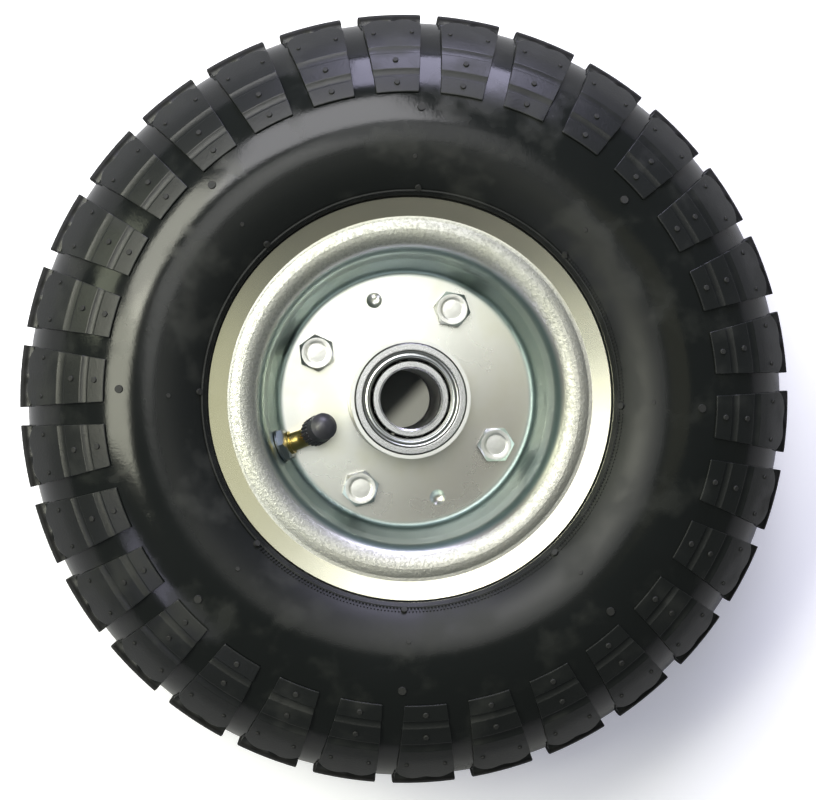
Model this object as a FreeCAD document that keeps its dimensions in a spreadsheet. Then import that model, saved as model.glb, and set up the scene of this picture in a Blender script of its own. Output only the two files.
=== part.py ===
import FreeCAD, Part

import math
import os
import re

import Sketcher

# Pneumatic wheel for barrows, carts and trolleys, lying flat on its sidewall.
# Millimetres. The origin is the wheel's centre, +Z is the axle line and +X runs through the valve hole.
# Near means the valve's side (+Z), far the side of the nuts (-Z).

doc = FreeCAD.newDocument("PneumaticWheel")
sheet = doc.addObject("Spreadsheet::Sheet", "Sizes")

# Driving dimensions, millimetres and degrees
DIMENSIONS = {
    # tyre
    "belly_reach": 18.5,
    "sidewall_bulge": 10.44,
    "sidewall_stand": 2.9,
    "lug_count": 30,
    "lug_gap_crown": 6.1,
    "lug_gap_shoulder": 7.2,
    "groove_depth": 2.8,
    "shoulder_ease": 0.2,
    "lug_root_depth": 1.5,
    "lug_reach": 30,
    "crown_groove_place": 12.6,
    "crown_groove_width": 3.2,
    "crown_groove_depth": 2,
    "shoulder_groove_drop": 15.2,
    "buttress_groove_drop": 23.2,
    "rib_groove_width": 1.6,
    "rib_groove_depth": 1.4,
    "sidewall_thickness": 4.5,
    "bead_wall": 3.7,
    "rim_line_gap": 2,
    "rim_line_height": 0.8,
    "bead_toe_height": 17.5,
    # inner tube
    "tube_wall": 1.8,
    "tube_gap": 0.3,
    # pressed rim halves
    "rim_sheet": 2,
    "lip_width": 7.15,
    "bead_seat_diameter": 100,
    "bead_seat_taper": 5,
    "bead_seat_bottom": 14,
    "bead_seat_top": 25.3,
    "drop_wall_lean": 16,
    "wall_bend_radius": 10,
    "fold_radius": 1.8,
    "flange_roll_radius": 8,
    "joggle_turn": 20,
    "joggle_radius": 1,
    "bead_gap": 0.06,
    # pips that key the halves together
    "pip_place": 35,
    "pip_angle": 87.3,
    "pip_radius": 3.9,
    "pip_depth": 1,
    "pip_gap": 0.05,
    # hub
    "hub_length": 70,
    "hub_diameter": 39.4,
    "hub_setback": 0.6,
    "hub_stop_depth": 1.1,
    "hub_hole_gap": 0.1,
    "weld_leg": 3,
    "weld_gap": 0.02,
    # ball bearings
    "bearing_bore": 20,
    "bearing_diameter": 37,
    "bearing_width": 9,
    "bearing_fit": 0.02,
    "ball_diameter": 4.762,
    "ball_count": 11,
    "ball_gap": 0.03,
    "inner_land_diameter": 24.8,
    "outer_land_diameter": 31.8,
    "ring_chamfer": 0.6,
    "shield_bore": 26.2,
    "shield_thickness": 0.3,
    "shield_recess": 0.7,
    "shield_seat": 0.4,
    "cage_inner_diameter": 26.6,
    "cage_outer_diameter": 30.4,
    "cage_width": 6,
    "pocket_gap": 0.05,
    "spacer_diameter": 24,
    "spacer_bore": 20.1,
    # bolts, spring washers and nuts
    "bolt_circle": 68,
    "bolt_angle": 42.3,
    "bolt_diameter": 6.35,
    "bolt_length": 13.2,
    "bolt_hole_gap": 0.15,
    "bolt_flats": 11,
    "head_height": 4,
    "head_turn": 12,
    "head_turn_step": 17,
    "nut_height": 5.5,
    "washer_diameter": 11.4,
    "washer_thickness": 1.6,
    "washer_slit": 1.2,
    # valve
    "valve_height": 9.2,
    "valve_diameter": 7.7,
    "valve_hole_diameter": 8.3,
    "valve_neck_diameter": 6.2,
    "valve_root": 7.2,
    "valve_bend_radius": 6,
    "valve_bend": 54,
    "valve_twist": 6,
    "valve_neck_length": 3.4,
    "valve_mouth_length": 10,
    "valve_bore": 2.2,
    "valve_mouth_bore": 5.3,
    "valve_foot_diameter": 15,
    "valve_foot_height": 2.2,
    "valve_washer_diameter": 11,
    "valve_washer_thickness": 0.8,
    "valve_nut_flats": 10,
    "valve_nut_height": 2.2,
    # valve core and cap
    "core_diameter": 5.2,
    "core_length": 9,
    "core_bore": 2.4,
    "pin_diameter": 1.2,
    "pin_collar": 2.1,
    "pin_collar_height": 1.2,
    "pin_setback": 0.4,
    "spring_wire": 0.3,
    "spring_turns": 4,
    "cap_diameter": 8.9,
    "cap_skirt_diameter": 9.6,
    "cap_skirt_height": 5.4,
    "cap_length": 12.6,
    "cap_top_wall": 2.6,
    "cap_gap": 0.15,
    "cap_rib_count": 24,
    "cap_rib_width": 0.62,
    "cap_seal_thickness": 0.8,
}
for row, (alias, value) in enumerate(DIMENSIONS.items(), start=1):
    sheet.set(f"A{row}", alias)
    sheet.set(f"B{row}", str(value))
    sheet.setAlias(f"B{row}", alias)
doc.recompute()

WORD = re.compile(r"[a-z_]{4,}")
TINY = 1e-6
nodes = []


def bound(expression):
    """The expression with each dimension written as its cell in the sheet."""
    return WORD.sub(
        lambda word: f"Sizes.{word[0]}" if word[0] in DIMENSIONS else word[0], str(expression)
    )


def size(expression):
    """The value of an expression of the sheet's dimensions."""
    return float(sheet.evalExpression(bound(expression)))


def keep(thing, label):
    """Marks a finished sub-part. Its Label is the node's name."""
    thing.Label = label
    nodes.append(thing)
    return thing


def sketch_on(body, plane, name):
    sketch = body.newObject("Sketcher::SketchObject", name)
    feature = next(o for o in body.Origin.OriginFeatures if o.Role == plane)
    sketch.AttachmentSupport = [(feature, "")]
    sketch.MapMode = "FlatFace"
    return sketch


def pin_point(sketch, segment, end, x, y):
    """Ties one end of a segment to the origin by two driven distances."""
    for kind, axis, expression in (("DistanceX", -2, x), ("DistanceY", -1, y)):
        value = size(expression)
        if abs(value) < TINY:
            sketch.addConstraint(Sketcher.Constraint("PointOnObject", segment, end, axis))
            continue
        place = sketch.addConstraint(Sketcher.Constraint(kind, -1, 1, segment, end, value))
        sketch.setExpression(f"Constraints[{place}]", bound(expression))


def arc_between(start, end, radius, left):
    """The short arc of this radius from start to end, bulging to the left of the way or to its right."""
    chord = end - start
    middle = (start + end) * 0.5
    across = FreeCAD.Vector(-chord.y, chord.x, 0).normalize() * (1 if left else -1)
    rise = radius - math.sqrt(max(radius**2 - (chord.Length / 2) ** 2, 0))
    return Part.Arc(start, middle + across * rise, end)


def outline(sketch, corners):
    """A closed outline of corners (x, y), or (x, y, radius, side) where an arc leads on to the next one."""
    first = sketch.GeometryCount
    spots = [FreeCAD.Vector(size(c[0]), size(c[1]), 0) for c in corners]
    count = len(corners)
    for n, corner in enumerate(corners):
        start, end = spots[n], spots[(n + 1) % count]
        if len(corner) == 2:
            sketch.addGeometry(Part.LineSegment(start, end))
        else:
            sketch.addGeometry(arc_between(start, end, size(corner[2]), corner[3] == "left"))
    # An arc runs anticlockwise in a sketch, so its first vertex may be the outline's later one.
    heads = [
        1 if (sketch.getPoint(first + n, 1) - spots[n]).Length < TINY * 100 else 2 for n in range(count)
    ]
    for n, corner in enumerate(corners):
        later = (n + 1) % count
        sketch.addConstraint(
            Sketcher.Constraint("Coincident", first + n, 3 - heads[n], first + later, heads[later])
        )
        pin_point(sketch, first + n, heads[n], corner[0], corner[1])
        if len(corner) > 2:
            place = sketch.addConstraint(Sketcher.Constraint("Radius", first + n, size(corner[2])))
            sketch.setExpression(f"Constraints[{place}]", bound(corner[2]))


def circle(sketch, x, y, radius):
    place = sketch.addGeometry(
        Part.Circle(FreeCAD.Vector(size(x), size(y), 0), FreeCAD.Vector(0, 0, 1), size(radius))
    )
    pin_point(sketch, place, 3, x, y)
    dimension = sketch.addConstraint(Sketcher.Constraint("Radius", place, size(radius)))
    sketch.setExpression(f"Constraints[{dimension}]", bound(radius))


def turned(name, *outlines):
    """A body turned about +Z from outlines drawn in the XZ plane."""
    body = doc.addObject("PartDesign::Body", name)
    sketch = sketch_on(body, "XZ_Plane", f"{name}_section")
    for corners in outlines:
        outline(sketch, corners)
    turn = body.newObject("PartDesign::Revolution", f"{name}_turn")
    turn.Profile = sketch
    turn.ReferenceAxis = (sketch, ["V_Axis"])
    turn.Angle = 360
    sketch.Visibility = False
    return body


def around(body, feature, count, name):
    """Repeats a body's feature about +Z."""
    pattern = body.newObject("PartDesign::PolarPattern", name)
    pattern.Originals = [feature]
    pattern.Axis = (next(o for o in body.Origin.OriginFeatures if o.Role == "Z_Axis"), [""])
    pattern.Angle = 360
    pattern.setExpression("Occurrences", bound(count))
    body.Tip = pattern
    return pattern


def primitive(kind, name, placement=None, **sizes):
    """A Part primitive whose properties follow expressions of the sheet."""
    thing = doc.addObject(f"Part::{kind}", name)
    for prop, expression in sizes.items():
        thing.setExpression(prop, bound(expression))
    if placement:
        thing.Placement = placement
    return thing


def joined(name, *things):
    union = doc.addObject("Part::MultiFuse", name)
    union.Shapes = list(things)
    return union


def cut(name, base, tool):
    left = doc.addObject("Part::Cut", name)
    left.Base = base
    left.Tool = tool
    return left


def common(name, base, tool):
    both = doc.addObject("Part::Common", name)
    both.Base = base
    both.Tool = tool
    return both


def spot(x=0, y=0, z=0, rotation=None):
    return FreeCAD.Placement(FreeCAD.Vector(x, y, z), rotation or FreeCAD.Rotation())


def about_axle(angle, radius, z=0, turn=0):
    """A place on a circle about the axle, turned with it."""
    place = FreeCAD.Placement(FreeCAD.Vector(), FreeCAD.Rotation(FreeCAD.Vector(0, 0, 1), angle))
    return place.multiply(spot(radius, 0, z, FreeCAD.Rotation(FreeCAD.Vector(0, 0, 1), turn)))


FLIP = FreeCAD.Rotation(FreeCAD.Vector(1, 0, 0), 180)


# Rim half. One pressed steel dish: flat disc, fold, drop wall, tapered bead seat, rolled flange and lip.
# Each corner is given on the sheet's hollow side, and depth moves it through the sheet to the tyre's side.
seat_r = "(bead_seat_diameter / 2 - rim_sheet)"
roll_r = f"({seat_r} + flange_roll_radius * cos(bead_seat_taper))"
roll_z = "(bead_seat_top - flange_roll_radius * sin(bead_seat_taper))"
joggle_step = "(flange_roll_radius + joggle_radius)"
lip_r = f"({roll_r} + {joggle_step} * sin(joggle_turn))"
flange_r = f"({lip_r} + lip_width)"
lip_face = f"({roll_z} + {joggle_step} * cos(joggle_turn) - joggle_radius)"


def rim_outline():
    lean, taper, turn = "drop_wall_lean", "bead_seat_taper", "joggle_turn"
    foot_r = f"({seat_r} - (bead_seat_top - bead_seat_bottom) * tan({taper}))"
    bend = f"(wall_bend_radius * tan(({lean} - {taper}) / 2))"
    fold_z = "(rim_sheet + fold_radius)"
    fold_r = (
        f"({foot_r} - (bead_seat_bottom - {fold_z} + fold_radius * sin({lean})) * tan({lean})"
        f" - fold_radius * cos({lean}))"
    )
    hole_r = "(hub_diameter / 2 + hub_hole_gap)"

    def side(depth):
        """The corners from the hub hole out to the lip, at this depth in the sheet."""
        wall = f"(fold_radius + {depth})"
        roll = f"(flange_roll_radius - {depth})"
        return {
            "hole": (hole_r, f"(rim_sheet - {depth})"),
            "fold_start": (fold_r, f"(rim_sheet - {depth})"),
            "fold_end": (f"{fold_r} + {wall} * cos({lean})", f"{fold_z} - {wall} * sin({lean})"),
            "bend_start": (
                f"{foot_r} - {bend} * sin({lean}) + {depth} * cos({lean})",
                f"bead_seat_bottom - {bend} * cos({lean}) - {depth} * sin({lean})",
            ),
            "bend_end": (
                f"{foot_r} + {bend} * sin({taper}) + {depth} * cos({taper})",
                f"bead_seat_bottom + {bend} * cos({taper}) - {depth} * sin({taper})",
            ),
            "roll_start": (
                f"{roll_r} - {roll} * cos({taper})",
                f"{roll_z} + {roll} * sin({taper})",
            ),
            "crest": (roll_r, f"{roll_z} + {roll}"),
            "roll_end": (f"{roll_r} + {roll} * sin({turn})", f"{roll_z} + {roll} * cos({turn})"),
            "lip_start": (lip_r, f"{lip_face} - {depth}"),
            "lip_end": (flange_r, f"{lip_face} - {depth}"),
        }

    near, back = side("0"), side("rim_sheet")
    roll_back = "(flange_roll_radius - rim_sheet)"
    return [
        near["hole"],
        (*near["fold_start"], "fold_radius", "right"),
        near["fold_end"],
        (*near["bend_start"], "wall_bend_radius", "right"),
        near["bend_end"],
        (*near["roll_start"], "flange_roll_radius", "left"),
        (*near["crest"], "flange_roll_radius", "left"),
        (*near["roll_end"], "joggle_radius", "right"),
        near["lip_start"],
        near["lip_end"],
        back["lip_end"],
        (*back["lip_start"], "joggle_radius + rim_sheet", "left"),
        (*back["roll_end"], roll_back, "right"),
        (*back["crest"], roll_back, "right"),
        back["roll_start"],
        (*back["bend_end"], "wall_bend_radius + rim_sheet", "left"),
        back["bend_start"],
        (*back["fold_end"], "fold_radius + rim_sheet", "left"),
        back["fold_start"],
        back["hole"],
    ]


def rim_dish(name, hole_angle):
    """A dish with its four bolt holes, standing on the +Z side of the wheel's middle plane."""
    body = turned(name, rim_outline())
    holes = sketch_on(body, "XY_Plane", f"{name}_hole")
    circle(
        holes,
        f"bolt_circle / 2 * cos({hole_angle})",
        f"bolt_circle / 2 * sin({hole_angle})",
        "bolt_diameter / 2 + bolt_hole_gap",
    )
    pocket = body.newObject("PartDesign::Pocket", f"{name}_hole_cut")
    pocket.Profile = holes
    pocket.Type = "ThroughAll"
    pocket.Midplane = True
    holes.Visibility = False
    around(body, pocket, "4", f"{name}_holes")
    return body


# Two pips, half a turn apart, pressed through both dishes so that one seats in the other.
# All their faces are balls about one centre above the near dish.
pip_centre = "(rim_sheet - pip_depth + pip_radius)"
pip_reach = "(pip_radius + rim_sheet)"


def pip_balls(name, radius):
    """The balls of one face of both pips."""
    places = [
        about_axle(size("pip_angle") + 180 * n, size("pip_place"), size(pip_centre)) for n in (0, 1)
    ]
    balls = [primitive("Sphere", f"{name}_{n}", place, Radius=radius) for n, place in enumerate(places)]
    return joined(name, *balls)


def below(name, thing, level):
    """The part of a thing under a level, which is the bulge that shows outside the sheet."""
    block = primitive(
        "Box", f"{name}_block", Length=f"2 * {flange_r}", Width=f"2 * {flange_r}", Height=f"2 * {lip_face}"
    )
    block.setExpression("Placement.Base.x", bound(f"-{flange_r}"))
    block.setExpression("Placement.Base.y", bound(f"-{flange_r}"))
    block.setExpression("Placement.Base.z", bound(f"{level} - 2 * {lip_face}"))
    return common(name, thing, block)


def valve_frame(along=0):
    """The valve's own frame: its origin on the drop wall, +X out of the wall, +Z towards the flange."""
    lean = math.radians(size("drop_wall_lean"))
    wall_r = size(
        "bead_seat_diameter / 2 - rim_sheet - (bead_seat_top - bead_seat_bottom) * tan(bead_seat_taper)"
        " - (bead_seat_bottom - valve_height) * tan(drop_wall_lean)"
    )
    out = FreeCAD.Vector(-math.cos(lean), 0, math.sin(lean))
    up = FreeCAD.Vector(math.sin(lean), 0, math.cos(lean))
    frame = spot(wall_r, 0, size("valve_height"), FreeCAD.Rotation(out, up.cross(out), up, "XYZ"))
    twist = FreeCAD.Rotation(FreeCAD.Vector(1, 0, 0), -size("valve_twist"))
    return frame.multiply(spot(along, 0, 0, twist))


ALONG_X = FreeCAD.Rotation(FreeCAD.Vector(0, 1, 0), 90)
hole_reach = size("2 * rim_sheet")
valve_hole = primitive(
    "Cylinder",
    "valve_hole",
    valve_frame(-hole_reach * 1.5).multiply(spot(rotation=ALONG_X)),
    Radius="valve_hole_diameter / 2",
    Height="4 * rim_sheet",
)
near_dish = rim_dish("near_dish", "bolt_angle")
near_bulges = pip_balls("near_bulge_balls", pip_reach)
near_pressed = joined("near_pressed", near_dish, below("near_bulge", near_bulges, "rim_sheet / 2"))
near_dimples = joined("near_dimples", pip_balls("near_dimple_balls", "pip_radius"), valve_hole)
keep(cut("near_rim", near_pressed, near_dimples), "near_rim_half")

# The far dish is turned over about +X, so its holes are set out the other way round.
far_dish = rim_dish("far_dish", "-bolt_angle")
far_dish.Placement = spot(rotation=FLIP)
far_bulges = pip_balls("far_bulge_balls", f"{pip_reach} + pip_gap + rim_sheet")
far_pressed = joined("far_pressed", far_dish, below("far_bulge", far_bulges, "-rim_sheet / 2"))
keep(
    cut("far_rim", far_pressed, pip_balls("far_dimple_balls", f"{pip_reach} + pip_gap")),
    "far_rim_half",
)

# Hub tube. Thin steel tube through both dishes, with a rolled-in bead behind each bearing as its stop.
hub_r = "hub_diameter / 2"
seat_r = "(bearing_diameter / 2 + bearing_fit)"
hub_end = "(hub_length / 2 - hub_setback)"
stop_z = "(hub_length / 2 - bearing_width - bearing_fit)"
crease = "hub_stop_depth"
hub_half = [
    (seat_r, hub_end),
    (seat_r, stop_z),
    (f"{seat_r} - {crease}", f"{stop_z} - {crease} / 2"),
    (f"{seat_r} - {crease}", f"{stop_z} - {crease}"),
    (seat_r, f"{stop_z} - 2 * {crease}"),
]
hub_skin = [
    (hub_r, f"{stop_z} - 2.4 * {crease}"),
    (f"{hub_r} - {crease} * 2 / 3", f"{stop_z} - {crease} * 1.2"),
    (f"{hub_r} - {crease} * 2 / 3", f"{stop_z} - {crease} * 0.8"),
    (hub_r, stop_z + f" + {crease} / 3"),
    (hub_r, hub_end),
]


def mirrored(corners):
    """Straight corners of the +Z side, walked back along the -Z side."""
    return [(r, f"-({z})") for r, z in reversed(corners)]


keep(turned("hub", hub_half + mirrored(hub_half) + mirrored(hub_skin) + hub_skin), "hub_tube")

# Fillet weld that ties the hub tube to the far dish.
weld_r = "(hub_diameter / 2 + weld_gap)"
weld_z = "(rim_sheet + weld_gap)"
weld_body = turned(
    "weld",
    [
        (weld_r, f"-{weld_z}"),
        (weld_r, f"-{weld_z} - weld_leg"),
        (f"{weld_r} + weld_leg / 4", f"-{weld_z} - weld_leg"),
        (f"{weld_r} + weld_leg", f"-{weld_z} - weld_leg / 4"),
        (f"{weld_r} + weld_leg", f"-{weld_z}"),
    ],
)
keep(weld_body, "hub_weld")

# Ball bearings. Deep-groove rings, one row of balls in a cage and a pressed shield on each face.
bore_r = "bearing_bore / 2"
pitch_r = "((bearing_diameter + bearing_bore) / 4)"
race_r = "(ball_diameter / 2 + ball_gap)"
half_width = "bearing_width / 2"
inner_land = "(inner_land_diameter / 2)"
outer_land = "(outer_land_diameter / 2)"
inner_groove = f"sqrt({race_r} ^ 2 - ({pitch_r} - {inner_land}) ^ 2)"
outer_groove = f"sqrt({race_r} ^ 2 - ({outer_land} - {pitch_r}) ^ 2)"
bearing_z = size("(hub_length - bearing_width) / 2")
shield_out = f"{half_width} - shield_recess"
shield_in = f"{half_width} - shield_recess - shield_thickness"
shield_r = f"({outer_land} + shield_seat)"
outer_r = "bearing_diameter / 2"


def inner_ring(name):
    return turned(
        name,
        [
            (f"{bore_r} + ring_chamfer", f"-{half_width}"),
            (inner_land, f"-{half_width}"),
            (inner_land, f"-{inner_groove}", race_r, "left"),
            (inner_land, inner_groove),
            (inner_land, half_width),
            (f"{bore_r} + ring_chamfer", half_width),
            (bore_r, f"{half_width} - ring_chamfer"),
            (bore_r, f"-{half_width} + ring_chamfer"),
        ],
    )


def outer_ring(name):
    return turned(
        name,
        [
            (outer_land, f"-({shield_in})"),
            (shield_r, f"-({shield_in})"),
            (shield_r, f"-{half_width}"),
            (f"{outer_r} - ring_chamfer", f"-{half_width}"),
            (outer_r, f"-{half_width} + ring_chamfer"),
            (outer_r, f"{half_width} - ring_chamfer"),
            (f"{outer_r} - ring_chamfer", half_width),
            (shield_r, half_width),
            (shield_r, shield_in),
            (outer_land, shield_in),
            (outer_land, outer_groove, race_r, "left"),
            (outer_land, f"-{outer_groove}"),
        ],
    )


def shield(name, sign):
    return turned(
        name,
        [
            ("shield_bore / 2", f"{sign}({shield_in})"),
            (f"{shield_r} - bearing_fit", f"{sign}({shield_in})"),
            (f"{shield_r} - bearing_fit", f"{sign}({shield_out} + shield_recess / 2)"),
            (f"{shield_r} - bearing_fit - shield_thickness", f"{sign}({shield_out} + shield_recess / 2)"),
            (f"{shield_r} - bearing_fit - shield_thickness", f"{sign}({shield_out})"),
            ("shield_bore / 2", f"{sign}({shield_out})"),
        ],
    )


def ball_row(name):
    count = round(size("ball_count"))
    return joined(
        name,
        *(
            primitive(
                "Sphere",
                f"{name}_{n}",
                about_axle(360 * n / count, size(pitch_r)),
                Radius="ball_diameter / 2",
            )
            for n in range(count)
        ),
    )


def ball_cage(name):
    """A ring with one round pocket right through it for each ball."""
    blank = turned(
        f"{name}_blank",
        [
            ("cage_inner_diameter / 2", "-cage_width / 2"),
            ("cage_outer_diameter / 2", "-cage_width / 2"),
            ("cage_outer_diameter / 2", "cage_width / 2"),
            ("cage_inner_diameter / 2", "cage_width / 2"),
        ],
    )
    count = round(size("ball_count"))
    pockets = [
        primitive(
            "Cylinder",
            f"{name}_pocket_{n}",
            about_axle(360 * n / count, 0).multiply(spot(rotation=ALONG_X)),
            Radius="ball_diameter / 2 + pocket_gap",
            Height="bearing_diameter / 2",
        )
        for n in range(count)
    ]
    return cut(name, blank, joined(f"{name}_pockets", *pockets))


for side, place in (("near", spot(z=bearing_z)), ("far", spot(z=-bearing_z))):
    inner = keep(inner_ring(f"{side}_inner"), f"{side}_inner_ring")
    outer = keep(outer_ring(f"{side}_outer"), f"{side}_outer_ring")
    balls = keep(ball_row(f"{side}_ball_set"), f"{side}_balls")
    cage = keep(ball_cage(f"{side}_cage_ring"), f"{side}_cage")
    facing_out, facing_in = ("", "-") if side == "near" else ("-", "")
    outer_shield = keep(shield(f"{side}_outward", facing_out), f"{side}_outer_shield")
    inner_shield = keep(shield(f"{side}_inward", facing_in), f"{side}_inner_shield")
    for piece in (inner, outer, balls, cage, outer_shield, inner_shield):
        piece.Placement = place

# Spacer tube. It holds the two inner rings apart when the axle bolt is tightened.
spacer_z = "(hub_length / 2 - bearing_width)"
spacer_body = turned(
    "spacer",
    [
        ("spacer_bore / 2", f"-{spacer_z}"),
        ("spacer_diameter / 2", f"-{spacer_z}"),
        ("spacer_diameter / 2", spacer_z),
        ("spacer_bore / 2", spacer_z),
    ],
)
keep(spacer_body, "spacer_tube")

# Rim bolts. Hexagon head on the near dish, spring washer and nut on the far dish.
hex_corner = "bolt_flats / 2 / cos(30)"
chamfer_drop = f"({hex_corner} - bolt_flats / 2) * tan(30)"


def hexagon(name, height, corner, both_ends=False):
    """A hexagonal prism on z = 0 with its corners turned off at the top, or at both ends."""
    prism = primitive("Prism", f"{name}_prism", Circumradius=corner, Height=height)
    prism.Polygon = 6
    slope = f"{height} * tan(60)"
    flats = f"({corner} * cos(30) * 0.97)"
    top = primitive(
        "Cone", f"{name}_top", Radius1=f"{flats} + {slope}", Radius2=flats, Height=height
    )
    shaped = common(f"{name}_shaped", prism, top)
    if not both_ends:
        return shaped
    foot = primitive(
        "Cone", f"{name}_foot", Radius1=flats, Radius2=f"{flats} + {slope}", Height=height
    )
    return common(f"{name}_trimmed", shaped, foot)


def bolt(name, place):
    head = hexagon(f"{name}_head", "head_height", hex_corner)
    point = "bolt_diameter / 8"
    shank = primitive(
        "Cylinder", f"{name}_shank", Radius="bolt_diameter / 2", Height=f"bolt_length - {point}"
    )
    shank.Placement = spot(rotation=FLIP)
    tip = primitive(
        "Cone",
        f"{name}_tip",
        spot(z=-size(f"bolt_length - {point}"), rotation=FLIP),
        Radius1="bolt_diameter / 2",
        Radius2=f"bolt_diameter / 2 - {point}",
        Height=point,
    )
    whole = joined(name, head, shank, tip)
    whole.Placement = place
    return whole


def spring_washer(name, place):
    ring = primitive(
        "Cylinder", f"{name}_ring", Radius="washer_diameter / 2", Height="washer_thickness"
    )
    hole = primitive(
        "Cylinder", f"{name}_hole", Radius="bolt_diameter / 2 + bolt_hole_gap", Height="washer_thickness"
    )
    slit = primitive(
        "Box", f"{name}_slit", Length="washer_diameter", Width="washer_slit", Height="washer_thickness"
    )
    slit.setExpression("Placement.Base.y", bound("-washer_slit / 2"))
    whole = cut(name, cut(f"{name}_open", ring, hole), slit)
    whole.Placement = place
    return whole


def nut(name, place):
    hole = primitive(
        "Cylinder", f"{name}_thread", Radius="bolt_diameter / 2 + bearing_fit", Height="nut_height"
    )
    whole = cut(name, hexagon(f"{name}_body", "nut_height", hex_corner, both_ends=True), hole)
    whole.Placement = place
    return whole


for n in range(4):
    angle = size("bolt_angle") + 90 * n
    turn = size("head_turn") + n * size("head_turn_step")
    radius = size("bolt_circle / 2")
    washer_z = -size("rim_sheet")
    nut_z = washer_z - size("washer_thickness")
    number = n + 1
    keep(bolt(f"rim_bolt_{number}", about_axle(angle, radius, size("rim_sheet"), turn)), f"bolt_{number}")
    under = about_axle(angle, radius, washer_z, turn).multiply(spot(rotation=FLIP))
    keep(spring_washer(f"spring_washer_{number}", under), f"lock_washer_{number}")
    under = about_axle(angle, radius, nut_z, 2 * turn).multiply(spot(rotation=FLIP))
    keep(nut(f"rim_nut_{number}", under), f"nut_{number}")


# Valve. A bent brass stem bonded to the inner tube, held in the near drop wall by a washer and a nut.
# In the valve's frame x = 0 is the wall's hollow face.
def pipe_along(name, radius, start, reach="0"):
    """Sweeps a circle along the stem's line: straight root, bend and straight mouth."""
    body = doc.addObject("PartDesign::Body", name)
    path = sketch_on(body, "XZ_Plane", f"{name}_line")
    bend_x = "valve_root + valve_bend_radius * sin(valve_bend)"
    bend_z = "valve_bend_radius * (1 - cos(valve_bend))"
    run = f"(valve_neck_length + valve_mouth_length + {reach})"
    end_x = f"{bend_x} + {run} * cos(valve_bend)"
    end_z = f"{bend_z} + {run} * sin(valve_bend)"
    root = FreeCAD.Vector(size(start), 0, 0)
    bent = FreeCAD.Vector(size("valve_root"), 0, 0)
    risen = FreeCAD.Vector(size(bend_x), size(bend_z), 0)
    mouth = FreeCAD.Vector(size(end_x), size(end_z), 0)
    path.addGeometry(Part.LineSegment(root, bent))
    path.addGeometry(arc_between(bent, risen, size("valve_bend_radius"), False))
    path.addGeometry(Part.LineSegment(risen, mouth))
    path.addConstraint(Sketcher.Constraint("Coincident", 0, 2, 1, 1))
    path.addConstraint(Sketcher.Constraint("Coincident", 1, 2, 2, 1))
    pin_point(path, 0, 1, start, "0")
    pin_point(path, 1, 1, "valve_root", "0")
    pin_point(path, 2, 1, bend_x, bend_z)
    pin_point(path, 2, 2, end_x, end_z)
    place = path.addConstraint(Sketcher.Constraint("Radius", 1, size("valve_bend_radius")))
    path.setExpression(f"Constraints[{place}]", bound("valve_bend_radius"))
    ring = sketch_on(body, "YZ_Plane", f"{name}_ring")
    ring.setExpression("AttachmentOffset.Base.z", bound(start))
    circle(ring, "0", "0", radius)
    pipe = body.newObject("PartDesign::AdditivePipe", f"{name}_pipe")
    pipe.Profile = ring
    pipe.Spine = (path, ["Edge1", "Edge2", "Edge3"])
    path.Visibility = False
    ring.Visibility = False
    body.Placement = valve_frame()
    return body


tube_outer_wall = "(rim_sheet + tube_gap)"
stem_start = f"(-{tube_outer_wall} - valve_foot_height)"
stem_neck = pipe_along("stem_neck", "valve_neck_diameter / 2", stem_start)
mouth_turn = FreeCAD.Rotation(FreeCAD.Vector(0, 1, 0), 90 - size("valve_bend"))
mouth_x = size("valve_root + valve_bend_radius * sin(valve_bend) + valve_neck_length * cos(valve_bend)")
mouth_z = size("valve_bend_radius * (1 - cos(valve_bend)) + valve_neck_length * sin(valve_bend)")
# The mouth's frame has its origin where the threaded mouth starts and +Z out along it.
mouth_frame = valve_frame().multiply(spot(mouth_x, 0, mouth_z, mouth_turn))


def at_mouth(along=0):
    return mouth_frame.multiply(spot(z=along))


foot = primitive(
    "Cone",
    "stem_foot",
    valve_frame(size(stem_start)).multiply(spot(rotation=ALONG_X)),
    Radius1="valve_foot_diameter / 2",
    Radius2="valve_diameter / 2",
    Height="valve_foot_height",
)
barrel = primitive(
    "Cylinder",
    "stem_barrel",
    valve_frame(size(stem_start)).multiply(spot(rotation=ALONG_X)),
    Radius="valve_diameter / 2",
    Height=f"valve_foot_height + {tube_outer_wall} + valve_root * 5 / 8",
)
mouth = turned(
    "stem_mouth",
    [
        ("0", "0"),
        ("valve_neck_diameter / 2", "0"),
        ("valve_diameter / 2", "valve_diameter / 8"),
        ("valve_diameter / 2", "valve_mouth_length - valve_diameter / 16"),
        ("valve_diameter * 7 / 16", "valve_mouth_length"),
        ("0", "valve_mouth_length"),
    ],
)
mouth.Placement = at_mouth()
stem_bore = pipe_along("stem_bore", "valve_bore / 2", f"{stem_start} - tube_wall", reach="tube_wall")
core_seat = primitive(
    "Cylinder",
    "core_seat",
    at_mouth(size("valve_mouth_length - core_length - bearing_fit")),
    Radius="valve_mouth_bore / 2",
    Height="core_length + valve_mouth_length",
)
stem_solid = joined("stem_solid", stem_neck, foot, barrel, mouth)
stem = cut("stem", stem_solid, joined("stem_hollow", stem_bore, core_seat))
keep(stem, "valve_stem")

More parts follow.
